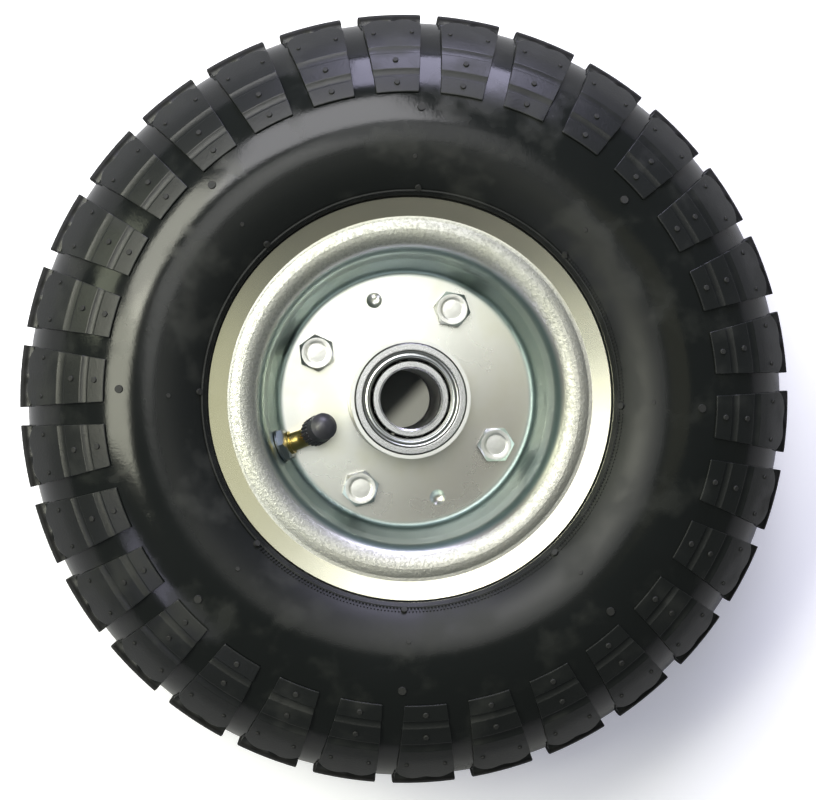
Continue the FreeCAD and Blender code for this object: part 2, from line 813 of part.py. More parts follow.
# The flat washer bears on the curved wall with its edge.
wall_rise = size("valve_washer_diameter ^ 2 / 4 / (bead_seat_diameter - 4 * rim_sheet)")
washer_seat = wall_rise + size("bolt_hole_gap")
washer_ring = primitive(
    "Cylinder",
    "valve_washer_ring",
    valve_frame(washer_seat).multiply(spot(rotation=ALONG_X)),
    Radius="valve_washer_diameter / 2",
    Height="valve_washer_thickness",
)
washer_hole = primitive(
    "Cylinder",
    "valve_washer_hole",
    valve_frame(washer_seat).multiply(spot(rotation=ALONG_X)),
    Radius="valve_diameter / 2 + bolt_hole_gap",
    Height="valve_washer_thickness",
)
keep(cut("valve_washer_cut", washer_ring, washer_hole), "valve_washer")
nut_body = hexagon("valve_nut_body", "valve_nut_height", "valve_nut_flats / 2 / cos(30)")
nut_hole = primitive(
    "Cylinder", "valve_nut_thread", Radius="valve_diameter / 2 + bearing_fit", Height="valve_nut_height"
)
valve_nut = cut("valve_nut_cut", nut_body, nut_hole)
nut_seat = washer_seat + size("valve_washer_thickness")
valve_nut.Placement = valve_frame(nut_seat).multiply(spot(rotation=ALONG_X))
keep(valve_nut, "valve_nut")

# Valve core. A barrel screwed into the mouth, with a sprung pin that opens when it is pressed.
core = turned(
    "core",
    [
        ("pin_diameter / 2 + pocket_gap", "-core_length"),
        ("core_diameter / 2 - ring_chamfer", "-core_length"),
        ("core_diameter / 2", "-core_length + ring_chamfer"),
        ("core_diameter / 2", "-pin_collar_height"),
        ("core_bore / 2", "-pin_collar_height"),
        ("core_bore / 2", "-core_length + core_bore / 2"),
        ("pin_diameter / 2 + pocket_gap", "-core_length + core_bore / 2"),
    ],
)
core.Placement = at_mouth(size("valve_mouth_length"))
keep(core, "valve_core")
collar_z = "(-pin_collar_height - 2 * pin_collar_height)"
pin = turned(
    "pin",
    [
        ("0", "-core_length - pin_collar_height"),
        ("pin_diameter / 2", "-core_length - pin_collar_height"),
        ("pin_diameter / 2", collar_z),
        ("pin_collar / 2", collar_z),
        ("pin_collar / 2", f"{collar_z} + pin_collar_height"),
        ("pin_diameter / 2", f"{collar_z} + pin_collar_height"),
        ("pin_diameter / 2", "-pin_setback"),
        ("0", "-pin_setback"),
    ],
)
pin.Placement = at_mouth(size("valve_mouth_length"))
keep(pin, "valve_pin")

coil_low = size("-core_length + core_bore / 2 + spring_wire")
coil_high = size(f"{collar_z} - spring_wire")
coil_r = size("(pin_collar + pin_diameter) / 4 + spring_wire / 4")
helix = Part.makeHelix((coil_high - coil_low) / size("spring_turns"), coil_high - coil_low, coil_r)
wire_end = Part.Wire(
    Part.makeCircle(size("spring_wire / 2"), FreeCAD.Vector(coil_r, 0, 0), FreeCAD.Vector(0, 1, 0))
)
core_spring = doc.addObject("Part::Feature", "core_spring_coil")
core_spring.Shape = Part.Wire(helix).makePipeShell([wire_end], True, True)
core_spring.Placement = at_mouth(size("valve_mouth_length") + coil_low)
keep(core_spring, "core_spring")

# Dust cap. Moulded plastic: domed top, ribbed skirt and a thin rubber seal inside.
cap_bore = "(valve_diameter / 2 + cap_gap)"
cap_z = "(valve_mouth_length + cap_seal_thickness + 2 * cap_gap + cap_top_wall - cap_length)"
cap_top = f"({cap_z} + cap_length)"
dome_rise = "(cap_diameter / 6)"
dome_radius = f"((cap_diameter * 0.4) ^ 2 + {dome_rise} ^ 2) / (2 * {dome_rise})"
cap_body = turned(
    "cap",
    [
        (cap_bore, cap_z),
        ("cap_diameter / 2", cap_z),
        ("cap_diameter / 2", f"{cap_top} - {dome_rise} - cap_diameter / 10"),
        ("cap_diameter * 0.4", f"{cap_top} - {dome_rise}", dome_radius, "right"),
        ("0", cap_top),
        ("0", f"{cap_top} - cap_top_wall"),
        (cap_bore, f"{cap_top} - cap_top_wall"),
    ],
)
cap_rib = sketch_on(cap_body, "XY_Plane", "cap_rib")
cap_rib.setExpression("AttachmentOffset.Base.z", bound(cap_z))
rib_half = "cap_rib_width / 2"
outline(
    cap_rib,
    [
        ("cap_diameter / 2 - cap_gap", f"-{rib_half}"),
        ("cap_skirt_diameter / 2", f"-{rib_half}"),
        ("cap_skirt_diameter / 2", rib_half),
        ("cap_diameter / 2 - cap_gap", rib_half),
    ],
)
rib_pad = cap_body.newObject("PartDesign::Pad", "cap_rib_pad")
rib_pad.Profile = cap_rib
rib_pad.setExpression("Length", bound("cap_skirt_height"))
around(cap_body, rib_pad, "cap_rib_count", "cap_ribs")
cap_body.Placement = at_mouth()
keep(cap_body, "valve_cap")
seal = primitive(
    "Cylinder",
    "cap_seal_disc",
    at_mouth(size("valve_mouth_length + cap_gap")),
    Radius=f"{cap_bore} - cap_gap",
    Height="cap_seal_thickness",
)
keep(seal, "cap_seal")

# Sections of the soft parts. A path runs on the +Z side to the crown and is mirrored back.
lip_foot = f"({lip_face} - rim_sheet)"
arc_r = f"({lip_face} + sidewall_bulge)"
belly_r = f"({flange_r} + belly_reach)"
crown_r = f"({belly_r} + {arc_r})"
tyre_r = f"({crown_r} + groove_depth)"


def there_and_back(corners):
    """A path of the +Z side that ends on z = 0, and then the same path back on the -Z side."""
    back = [
        (corners[n][0], f"-({corners[n][1]})", *corners[n - 1][2:])
        for n in range(len(corners) - 1, 0, -1)
    ]
    return corners[:-1] + back + [(corners[0][0], f"-({corners[0][1]})")]


def turned_over(corners):
    """The same path mirrored in the wheel's middle plane."""
    other = {"left": "right", "right": "left"}
    return [
        (c[0], f"-({c[1]})", *((c[2], other[c[3]]) if len(c) > 2 else ())) for c in corners
    ]


def level_arc(across, rise):
    """The radius of an arc that passes a point and runs level at its top, so far across and up."""
    return f"((({across}) ^ 2 + ({rise}) ^ 2) / (2 * ({rise})))"


def tyre_inside(gap):
    """The tyre's inside from the bead toe to the crown, moved into the hollow by a gap."""
    inner_arc = f"({arc_r} - sidewall_thickness - {gap})"
    neck_z = f"({lip_foot} - bead_gap - bead_wall - {gap})"
    neck_rise = "rim_sheet + sidewall_bulge + bead_gap + bead_wall - sidewall_thickness"
    neck_arc = level_arc(f"belly_reach - {gap}", neck_rise)
    return [
        (f"(bead_seat_diameter / 2 + rim_sheet + {gap})", f"(bead_toe_height - {gap})"),
        (f"({flange_r} + {gap})", neck_z, neck_arc, "left"),
        (belly_r, inner_arc, inner_arc, "left"),
        (f"({belly_r} + {inner_arc})", "0"),
    ]


# Inner tube. A closed butyl ring that lies just clear of the tyre's inside and of the rim's walls.
def tube_section(depth):
    """The tube's outside, or its inside at a depth in the wall."""
    reach = f"(tube_gap + {depth})"
    well_z = "(bead_seat_bottom / 2)"
    well_r = (
        "(bead_seat_diameter / 2 - (bead_seat_top - bead_seat_bottom) * tan(bead_seat_taper)"
        f" - (bead_seat_bottom - {well_z}) * tan(drop_wall_lean) + 4 / 3 * {reach})"
    )
    foot = [
        (well_r, well_z),
        (f"(bead_seat_diameter / 2 + {reach})", f"(bead_seat_bottom - {depth})"),
    ]
    return there_and_back(foot + tyre_inside(reach))


tube = turned("tube", tube_section("0"), tube_section("tube_wall"))
tube_hole = primitive(
    "Cylinder",
    "tube_valve_hole",
    valve_frame(-size("valve_foot_diameter")).multiply(spot(rotation=ALONG_X)),
    Radius="valve_foot_diameter / 2 + tube_gap",
    Height="valve_foot_diameter",
)
keep(cut("tube_open", tube, tube_hole), "inner_tube")


# Tyre. The carcass is one turned section with its beads and a fine line beside each flange.
edge_gap = "(10 * bead_gap)"
lower_arc = level_arc(f"belly_reach - {edge_gap}", "sidewall_bulge - sidewall_stand")


def on_lower_arc(gap):
    """The height of the lower sidewall at a gap outside the flange's edge."""
    return f"({arc_r} - {lower_arc} + sqrt({lower_arc} ^ 2 - (belly_reach - {gap}) ^ 2))"


def tyre_outside():
    """The carcass outside from the bead toe, round the flange and the sidewall to the crown."""
    heel_arc = "((flange_roll_radius - rim_sheet) * 7 / 8)"
    heel_z = f"({lip_foot} - bead_gap - {heel_arc})"
    base_r = "(bead_seat_diameter / 2 + 2 * bead_gap)"
    toe_r = f"({base_r} - ({heel_z} - bead_toe_height) * tan(bead_seat_taper))"
    line_in = "(rim_line_gap - rim_line_height / 2)"
    line_out = "(rim_line_gap + rim_line_height / 2)"
    line_top = f"({on_lower_arc('rim_line_gap')} + rim_line_height)"
    return [
        (toe_r, "bead_toe_height"),
        (base_r, heel_z, heel_arc, "left"),
        (f"({base_r} + {heel_arc})", f"({heel_z} + {heel_arc})"),
        (f"({flange_r} + {edge_gap})", f"({lip_foot} - bead_gap)"),
        (f"({flange_r} + {edge_gap})", on_lower_arc(edge_gap)),
        (f"({flange_r} + {line_in})", on_lower_arc(line_in)),
        (f"({flange_r} + {line_in})", line_top),
        (f"({flange_r} + {line_out})", line_top),
        (f"({flange_r} + {line_out})", on_lower_arc(line_out), lower_arc, "left"),
        (belly_r, arc_r, arc_r, "left"),
        (crown_r, "0"),
    ]


carcass = turned(
    "carcass", there_and_back(tyre_outside()) + turned_over(there_and_back(tyre_inside("0")))
)

# Tread band. Thirty straight lugs right across the tyre, each with two grooves on its shoulders
# and one groove on each side of its crown. Slots part the lugs, and the band's root lies in the carcass.
tread_arc = f"({arc_r} - shoulder_ease)"
tread_r = f"({belly_r} + groove_depth + shoulder_ease)"
root_arc = f"({arc_r} - lug_root_depth)"


def at_drop(drop, depth="0"):
    """A point of the tread so far in from the tyre's outer radius, at a depth below its surface."""
    out = f"({tread_arc} - {drop})"
    share = f"(1 - {depth} / {tread_arc})"
    return (f"({tread_r} + {out} * {share})", f"(sqrt({tread_arc} ^ 2 - {out} ^ 2) * {share})")


def at_height(z, depth="0"):
    """A point of the tread at a height over the middle plane, at a depth below its surface."""
    share = f"(1 - {depth} / {tread_arc})"
    return (f"({tread_r} + sqrt({tread_arc} ^ 2 - ({z}) ^ 2) * {share})", f"(({z}) * {share})")


def groove(spot_at, places, depth):
    """A square groove in the tread between its first and its second lip."""
    first, second = (f"({place})" for place in places)
    floors = [spot_at(first, depth), spot_at(second, depth)]
    return [spot_at(first), *floors, (*spot_at(second), tread_arc, "left")]


def rib_groove(drop):
    lips = (f"{drop} + rib_groove_width / 2", f"{drop} - rib_groove_width / 2")
    return groove(at_drop, lips, "rib_groove_depth")


crown_lips = (
    "crown_groove_place + crown_groove_width / 2",
    "crown_groove_place - crown_groove_width / 2",
)
lug_top = [
    (*at_drop("lug_reach"), tread_arc, "left"),
    *rib_groove("buttress_groove_drop"),
    *rib_groove("shoulder_groove_drop"),
    *groove(at_height, crown_lips, "crown_groove_depth"),
    (tyre_r, "0"),
]
root_end_z = f"sqrt({root_arc} ^ 2 - ({arc_r} + groove_depth - lug_reach) ^ 2)"
lug_root = [
    (f"({tyre_r} - lug_reach)", root_end_z, root_arc, "left"),
    (f"({belly_r} + {root_arc})", "0"),
]
band = turned("band", there_and_back(lug_top) + turned_over(there_and_back(lug_root)))
band.AllowCompound = True
slot_sketch = sketch_on(band, "YZ_Plane", "lug_slot")
slot_sketch.setExpression("AttachmentOffset.Base.z", bound(f"{tyre_r} + groove_depth"))
outline(
    slot_sketch,
    [
        ("-lug_gap_crown / 2", "0"),
        ("-lug_gap_shoulder / 2", f"-{arc_r}"),
        ("lug_gap_shoulder / 2", f"-{arc_r}"),
        ("lug_gap_crown / 2", "0"),
        ("lug_gap_shoulder / 2", arc_r),
        ("-lug_gap_shoulder / 2", arc_r),
    ],
)
slot = band.newObject("PartDesign::Pocket", "lug_slot_cut")
slot.Profile = slot_sketch
slot.setExpression("Length", bound("lug_reach + 3 * groove_depth"))
slot_sketch.Visibility = False
around(band, slot, "lug_count", "lug_slots")
# A lug's middle faces the valve.
band.Placement = about_axle(size("180 / lug_count"), 0)
keep(joined("tyre_solid", carcass, band), "tyre")

# Checks, then one file for each sub-part.
doc.recompute()
for thing in doc.Objects:
    if {"Invalid", "Error"} & set(thing.State):
        raise SystemExit(f"{thing.Name} failed: {thing.State}")
for node in nodes:
    shape = node.Shape
    if shape.isNull() or not shape.isValid() or not shape.Solids:
        raise SystemExit(f"{node.Label} has no valid solid")

os.makedirs("parts", exist_ok=True)
for node in nodes:
    node.Shape.exportStep(f"parts/{node.Label}.step")
print(f"{len(nodes)} sub-parts written")
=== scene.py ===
import math

import bmesh
import bpy
from mathutils import Matrix, Vector


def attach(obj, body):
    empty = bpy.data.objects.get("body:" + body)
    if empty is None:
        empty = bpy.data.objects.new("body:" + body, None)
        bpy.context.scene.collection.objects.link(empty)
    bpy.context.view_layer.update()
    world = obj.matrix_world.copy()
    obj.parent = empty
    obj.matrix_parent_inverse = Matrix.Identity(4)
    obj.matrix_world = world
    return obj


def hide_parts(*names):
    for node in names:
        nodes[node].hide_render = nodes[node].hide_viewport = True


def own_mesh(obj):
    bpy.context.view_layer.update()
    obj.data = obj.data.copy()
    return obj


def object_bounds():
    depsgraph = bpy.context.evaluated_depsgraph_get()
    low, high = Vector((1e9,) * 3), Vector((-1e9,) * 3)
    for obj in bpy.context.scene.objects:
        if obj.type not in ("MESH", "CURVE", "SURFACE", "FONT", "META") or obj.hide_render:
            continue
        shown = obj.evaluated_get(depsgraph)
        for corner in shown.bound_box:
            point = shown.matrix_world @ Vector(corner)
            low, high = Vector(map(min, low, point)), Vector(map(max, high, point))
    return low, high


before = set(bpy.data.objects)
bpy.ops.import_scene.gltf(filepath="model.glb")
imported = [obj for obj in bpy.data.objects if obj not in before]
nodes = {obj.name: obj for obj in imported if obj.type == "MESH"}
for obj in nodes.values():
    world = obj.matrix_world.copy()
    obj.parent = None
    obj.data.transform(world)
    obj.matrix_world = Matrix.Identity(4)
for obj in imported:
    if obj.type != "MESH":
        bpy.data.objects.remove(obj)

# Sections and pieces are set out in millimetres. Finishes, lamps and the camera work in metres.
cad_box = [list(corner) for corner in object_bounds()]
MM = 0.001
FULL_TURN = 2 * math.pi

# Camera. It looks down on the wheel from about a metre, with the valve at the picture's left and a
# little low. It stands slightly to the left of the axle line, so the bore shows some of its right
# wall.
WIDTH_PX = 816
PX_PER_MM = 2.951
CAMERA_HEIGHT, CAMERA_LEFT = 1.0, 0.049
PICTURE_TURN = math.radians(159.4)
AIM_RIGHT, AIM_UP = 0.0008, -0.0004
picture_right = Vector((math.cos(PICTURE_TURN), math.sin(PICTURE_TURN), 0))
picture_up = Vector((-math.sin(PICTURE_TURN), math.cos(PICTURE_TURN), 0))
aim = picture_right * AIM_RIGHT + picture_up * AIM_UP
camera_data = bpy.data.cameras.new("camera")
camera_data.sensor_fit = "HORIZONTAL"
camera_data.angle = 2 * math.atan(WIDTH_PX / PX_PER_MM * MM / CAMERA_HEIGHT / 2)
camera = bpy.data.objects.new("camera", camera_data)
eye = picture_right * -CAMERA_LEFT + Vector((0, 0, CAMERA_HEIGHT))
back = (eye - aim).normalized()
right = picture_up.cross(back).normalized()
camera_axes = Matrix((right, back.cross(right), back)).transposed().to_4x4()
camera.matrix_world = Matrix.Translation(eye) @ camera_axes
bpy.context.scene.collection.objects.link(camera)
bpy.context.scene.camera = camera
bpy.context.scene.view_settings.view_transform = "Standard"


# Studio. A white paper floor under nine soft lamps: three overhead, three at the picture's top and
# left, and three lower and further off. A pale room all round them is what polished steel mirrors.
class Number:
    """A number in a finish's nodes. A sum or product on it adds the node that works it out."""

    def __init__(self, finish, socket):
        self.finish = finish
        self.socket = socket

    def __add__(self, other):
        return self.finish.maths("ADD", self, other)

    def __sub__(self, other):
        return self.finish.maths("SUBTRACT", self, other)

    def __rsub__(self, other):
        return self.finish.maths("SUBTRACT", other, self)

    def __mul__(self, other):
        return self.finish.maths("MULTIPLY", self, other)

    def __pow__(self, other):
        return self.finish.maths("POWER", self, other)

    __radd__ = __add__
    __rmul__ = __mul__

    def at_most(self, limit):
        return self.finish.maths("MINIMUM", self, limit)

    def at_least(self, limit):
        return self.finish.maths("MAXIMUM", self, limit)

    def rise(self, low, high):
        """0 up to low, 1 from high on, and smooth between."""
        return self.finish.add(
            "ShaderNodeMapRange",
            {"interpolation_type": "SMOOTHSTEP"},
            {"Value": self, "From Min": low, "From Max": high},
        )

    def band(self, low, high, soft):
        """1 between low and high, with soft edges."""
        return self.rise(low - soft, low + soft) * (1 - self.rise(high - soft, high + soft))


class Finish:
    """A material with one surface shader, fed through its nodes."""

    def __init__(self, name):
        self.material = bpy.data.materials.new(name)
        self.material.use_nodes = True
        self.tree = self.material.node_tree
        self.tree.nodes.clear()
        output = self.tree.nodes.new("ShaderNodeOutputMaterial")
        self.shader = self.tree.nodes.new("ShaderNodeBsdfPrincipled")
        self.tree.links.new(self.shader.outputs[0], output.inputs["Surface"])

    def add(self, kind, settings=None, sockets=None, output=0):
        """A node with its settings and its sockets' values or links. It returns one output."""
        node = self.tree.nodes.new(kind)
        for name, value in (settings or {}).items():
            setattr(node, name, value)
        for name, value in (sockets or {}).items():
            self.join(node.inputs[name], value)
        return Number(self, node.outputs[output])

    def maths(self, operation, first, second=0.0):
        return self.add("ShaderNodeMath", {"operation": operation}, {0: first, 1: second})

    def join(self, socket, value):
        if isinstance(value, Number):
            self.tree.links.new(value.socket, socket)
        else:
            socket.default_value = value

    def feed(self, **sockets):
        """Feeds the shader. An underscore in a name stands for a space."""
        for name, value in sockets.items():
            self.join(self.shader.inputs[name.replace("_", " ")], value)

    def place(self):
        """Where a point is on the piece, in metres."""
        return self.add("ShaderNodeTexCoord", output="Object")

    def axes(self):
        """The three distances of a point and its distance from the axle line."""
        split = self.add("ShaderNodeSeparateXYZ", {}, {0: self.place()})
        x, y, z = (Number(self, socket) for socket in split.socket.node.outputs)
        return x, y, z, (x * x + y * y) ** 0.5

    def in_picture(self, x, y):
        """How far a point lies towards the picture's right and towards its top."""
        across = x * picture_right.x + y * picture_right.y
        above = x * picture_up.x + y * picture_up.y
        return across, above

    def noise(self, scale, detail=2.0, roughness=0.5, where=None):
        return self.add(
            "ShaderNodeTexNoise",
            {},
            {
                "Vector": where or self.place(),
                "Scale": scale,
                "Detail": detail,
                "Roughness": roughness,
            },
        )

    def mix(self, factor, first, second):
        """A colour between two colours."""
        sockets = {"Factor": factor, 6: first, 7: second}
        return self.add("ShaderNodeMix", {"data_type": "RGBA"}, sockets, output=2)

    def bump(self, height, distance, strength=1.0):
        sockets = {"Height": height, "Distance": distance, "Strength": strength}
        return self.add("ShaderNodeBump", {}, sockets)


def colour(red, green, blue):
    return (red, green, blue, 1.0)


FLOOR_Z, PAPER_SIZE = cad_box[0][2], 2.5
GLOW_IN, GLOW_OUT = 0.06, 0.15
CORNER_IN, CORNER_OUT = 0.10, 0.26
BORE_IN, BORE_OUT = 0.012, 0.03
BORE_LIT_IN, BORE_LIT_OUT = -0.001, 0.008


def white_paper():
    """Paper that glows white for the camera away from the wheel. Painted shade dims that glow and
    turns it bluer towards the lower right. Painted shadow darkens the paper seen through the bore,
    and a painted pool of light brightens the bore's lower right. Steel mirrors it as a plain grey."""
    finish = Finish("white_paper")
    x, y, _, radius = finish.axes()
    seen = finish.add("ShaderNodeLightPath", output="Is Camera Ray")
    across, above = finish.in_picture(x, y)
    low_right = across - above
    # Painted shadow and light: through the bore the paper is painted near-black, with a painted
    # pool of light glowing at its lower right.
    bore = 1 - radius.rise(BORE_IN, BORE_OUT)
    painted_light_in_bore = seen * bore * low_right.rise(BORE_LIT_IN, BORE_LIT_OUT)
    # Painted shade: the paper's glow is dimmer and bluer towards the picture's lower right.
    corner = low_right.rise(CORNER_IN, CORNER_OUT)
    white = finish.mix(finish.noise(40, 4), colour(0.84, 0.84, 0.87), colour(0.88, 0.88, 0.90))
    shown = finish.mix(bore * 0.85, white, colour(0.04, 0.055, 0.055))
    painted_bore_light = finish.mix(painted_light_in_bore, colour(0, 0, 0), colour(0.26, 0.26, 0.22))
    outer_glow = finish.mix(corner, colour(0.40, 0.40, 0.42), colour(0.10, 0.10, 0.16))
    finish.feed(
        Base_Color=finish.mix(seen, colour(0.4, 0.4, 0.42), shown),
        Emission_Color=finish.mix(seen * radius.rise(GLOW_IN, GLOW_OUT), painted_bore_light, outer_glow),
        Emission_Strength=1.0,
        Roughness=0.9,
    )
    return finish.material


paper_mesh = bpy.data.meshes.new("paper")
sheet = bmesh.new()
bmesh.ops.create_grid(sheet, x_segments=1, y_segments=1, size=PAPER_SIZE)
bmesh.ops.translate(sheet, verts=sheet.verts, vec=(0, 0, FLOOR_Z))
sheet.to_mesh(paper_mesh)
sheet.free()
paper_mesh.materials.append(white_paper())
paper = bpy.data.objects.new("paper", paper_mesh)
bpy.context.scene.collection.objects.link(paper)


def lamp(name, across, above, height, size, power, tint):
    """A square soft lamp, set out in the picture's directions and aimed at the hub."""
    data = bpy.data.lights.new(name, "AREA")
    data.shape = "SQUARE"
    data.size = size
    data.energy = power
    data.color = tint
    light = bpy.data.objects.new(name, data)
    spot = picture_right * across + picture_up * above + Vector((0, 0, height))
    turned = spot.to_track_quat("Z", "Y").to_matrix().to_4x4()
    light.matrix_world = Matrix.Translation(spot) @ turned
    bpy.context.scene.collection.objects.link(light)


lamp("ceiling_lamp", -0.21, 0.24, 1.9, 0.5, 2.3, (1.0, 1.0, 0.96))
lamp("top_card", 0.08, 0.52, 1.9, 0.45, 1.3, (1.0, 1.0, 1.0))
lamp("right_card", 0.62, 0.1, 1.9, 0.6, 0.5, (1.0, 0.95, 0.62))
lamp("top_lamp", -0.20, 0.80, 1.2, 0.6, 9.5, (0.98, 0.97, 1.0))
lamp("corner_lamp", -0.66, 0.46, 1.2, 0.45, 7.6, (1.0, 1.0, 0.86))
lamp("left_lamp", -0.82, 0.06, 1.2, 0.5, 8.6, (1.0, 1.0, 0.82))
lamp("top_window", 0.2, 1.6, 0.5, 0.9, 28, (0.76, 0.74, 1.0))
lamp("left_window", -1.4, 0.6, 0.7, 0.6, 5, (0.94, 1.0, 0.74))
lamp("low_window", -0.95, -0.7, 0.9, 0.4, 1.8, (0.80, 0.78, 1.0))
world = bpy.data.worlds.new("pale_room")
bpy.context.scene.world = world
world.use_nodes = True
room = world.node_tree.nodes["Background"]
room.inputs["Color"].default_value = colour(0.90, 0.98, 0.96)
room.inputs["Strength"].default_value = 0.2


# Rim halves. Two pressed dishes of 2 mm steel sheet, bolted back to back and bright zinc plated.
# The flat discs and lips are smooth, the rolled bead humps show the stretched, sparkling plate.
# Painted shade makes the plate darker and browner at the lip's top, and darker and greyer inside
# the lip towards the picture's lower right.
DISC_R, WALL_R, HUMP_IN, HUMP_OUT, LIP_IN = 0.042, 0.0502, 0.0510, 0.0598, 0.0600
WALL_SOFT, HUMP_SOFT, LIP_SOFT = 0.0009, 0.0006, 0.0004
DISC_DOME, LIP_RISE, FLECK_HIGH = 0.33, 0.17, 0.00003
BROWN_FROM, BROWN_TO = 0.015, 0.066
GREY_FROM, GREY_TO = -0.012, 0.056


def zinc_plate():
    finish = Finish("zinc_plate")
    x, y, _, radius = finish.axes()
    cloud = finish.noise(26, 3, 0.5)
    stain = finish.noise(55, 3, 0.5)
    flecks = finish.noise(900, 4, 0.7).rise(0.42, 0.62)
    lip = radius.rise(LIP_IN - LIP_SOFT, LIP_IN + LIP_SOFT)
    hump = radius.band(HUMP_IN, HUMP_OUT, HUMP_SOFT)
    wall = radius.band(DISC_R, WALL_R, WALL_SOFT)
    across, above = finish.in_picture(x, y)
    # Painted shade: the lip is darker and browner at its top, as where it mirrors the dark room.
    painted_lip_shade = lip * above.rise(BROWN_FROM, BROWN_TO)
    # Painted shade: inside the lip the plate is darker and greyer towards the picture's lower
    # right.
    grey = (1 - lip) * (across - above).rise(GREY_FROM, GREY_TO)
    flat = finish.mix(cloud, colour(0.78, 0.79, 0.73), colour(0.90, 0.90, 0.86))
    toned = finish.mix(stain.rise(0.42, 0.68) * 0.6, flat, colour(0.72, 0.72, 0.58))
    straw = finish.mix(lip * 0.7, toned, colour(0.80, 0.78, 0.58))
    with_painted_lip_shade = finish.mix(painted_lip_shade * 0.75, straw, colour(0.40, 0.36, 0.29))
    with_painted_shades = finish.mix(grey * 0.8, with_painted_lip_shade, colour(0.53, 0.50, 0.46))
    teal = finish.mix(wall, with_painted_shades, colour(0.25, 0.32, 0.315))
    speckled = finish.mix(hump * (flecks * 0.3 + 0.65), teal, colour(0.34, 0.345, 0.31))
    disc_place = radius.at_most(DISC_R)
    lip_place = (radius - LIP_IN).at_least(0.0)
    form = disc_place * disc_place * -DISC_DOME + lip_place * LIP_RISE
    smooth = 0.24 - lip * 0.06 + stain * 0.08
    finish.feed(
        Base_Color=speckled,
        Metallic=1.0,
        Roughness=smooth + hump * (flecks * 0.12 + 0.14) + wall * 0.12,
        Normal=finish.bump(form + hump * flecks * FLECK_HIGH, 1.0),
    )
    return finish.material


def dress(material, *names):
    """Gives CAD nodes one material."""
    for name in names:
        nodes[name].data.materials.clear()
        nodes[name].data.materials.append(material)


dress(zinc_plate(), "near_rim_half", "far_rim_half")


# Hub tube, spacer and weld. Drawn steel tubes with a bright plated skin, turned to length, and the
# rippled fillet weld that ties the hub tube to the far dish.
def tube_steel():
    finish = Finish("tube_steel")
    _, _, z, radius = finish.axes()
    drawn = finish.add("ShaderNodeCombineXYZ", {}, {0: radius * 900, 2: z * 2600})
    lines = finish.noise(1.0, 2, 0.6, drawn)
    cloud = finish.noise(60, 3)
    finish.feed(
        Base_Color=finish.mix(cloud, colour(0.68, 0.69, 0.67), colour(0.82, 0.82, 0.80)),
        Metallic=1.0,
        Roughness=0.26 + lines * 0.14,
        Normal=finish.bump(lines, 0.00004, 0.4),
    )
    return finish.material


def weld_bead():
    finish = Finish("weld_bead")
    x, y, _, _ = finish.axes()
    angle = finish.maths("ARCTAN2", y, x)
    ripple = finish.maths("SINE", angle * 70 + finish.noise(300) * 4)
    slag = finish.noise(240, 4)
    finish.feed(
        Base_Color=finish.mix(slag, colour(0.30, 0.29, 0.28), colour(0.58, 0.57, 0.55)),
        Metallic=1.0,
        Roughness=0.38 + finish.noise(500) * 0.2,
        Normal=finish.bump(ripple, 0.0002, 0.8),
    )
    return finish.material


dress(tube_steel(), "hub_tube", "spacer_tube")
dress(weld_bead(), "hub_weld")


# Ball bearings. Ground steel rings with fine turning marks on their faces, pressed steel shields,
# polished balls and a drawn cage. The outer shields have a crimped rim and a second ridge, and dip
# towards their bore. Where the rings and the shields meet, dark lines are painted: painted shade in
# the crevices, with grease.
RING_SEAMS = ((18.4, 0.3), (12.4, 0.25), (15.95, 0.15))
SHIELD_SEAMS = ((15.75, 0.2), (13.3, 0.3), (14.95, 0.2))
SEAM_SOFT = 0.00008
FACE_Z, SHIELD_STEPS = 35.0, 120
shield_line = [
    (15.88, -1.0),
    (15.88, -0.3),
    (15.75, -0.14),
    (15.4, -0.14),
    (15.22, -0.34),
    (15.12, -0.7),
    (14.75, -0.74),
    (14.5, -0.52),
    (14.2, -0.48),
    (13.95, -0.66),
    (13.8, -0.9),
    (13.2, -0.94),
    (13.12, -1.0),
]


def ring_steel(name, tone, rough, marks, seams=()):
    """Turned or pressed steel. Its seams at some distances from the axle are painted dark: painted
    shade in the crevices, with grease.
    """
    finish = Finish(name)
    _, _, z, radius = finish.axes()
    turned = finish.add("ShaderNodeCombineXYZ", {}, {0: radius * marks, 1: z * marks})
    lines = finish.noise(1.0, 3, 0.7, turned)
    darker = colour(*(part * 0.86 for part in tone))
    shade = finish.mix(finish.noise(150, 3), darker, colour(*tone))
    # Painted shade and grease: each seam is painted near-black.
    for seam, half in seams:
        line = radius.band((seam - half) * MM, (seam + half) * MM, SEAM_SOFT)
        shade = finish.mix(line * 0.9, shade, colour(0.05, 0.05, 0.045))
    finish.feed(
        Base_Color=shade,
        Metallic=1.0,
        Roughness=rough + lines * 0.12,
        Normal=finish.bump(lines, 0.00002, 0.35),
    )
    return finish.material


def section_mesh(section, angle, steps, loop=True):
    """A section swept about the axle line, centred on +X. It is a loop, or ends on the axis."""
    shape = bmesh.new()
    verts = [shape.verts.new((r * MM, 0, z * MM)) for r, z in section]
    edges = [shape.edges.new(pair) for pair in zip(verts, verts[1:] + verts[:1] * loop)]
    whole = angle >= FULL_TURN
    if not whole:
        start = Matrix.Rotation(-angle / 2, 4, "Z")
        bmesh.ops.transform(shape, matrix=start, verts=shape.verts)
    bmesh.ops.spin(
        shape,
        geom=verts + edges,
        cent=(0, 0, 0),
        axis=(0, 0, 1),
        angle=angle,
        steps=steps,
        use_merge=whole,
    )
    return shape


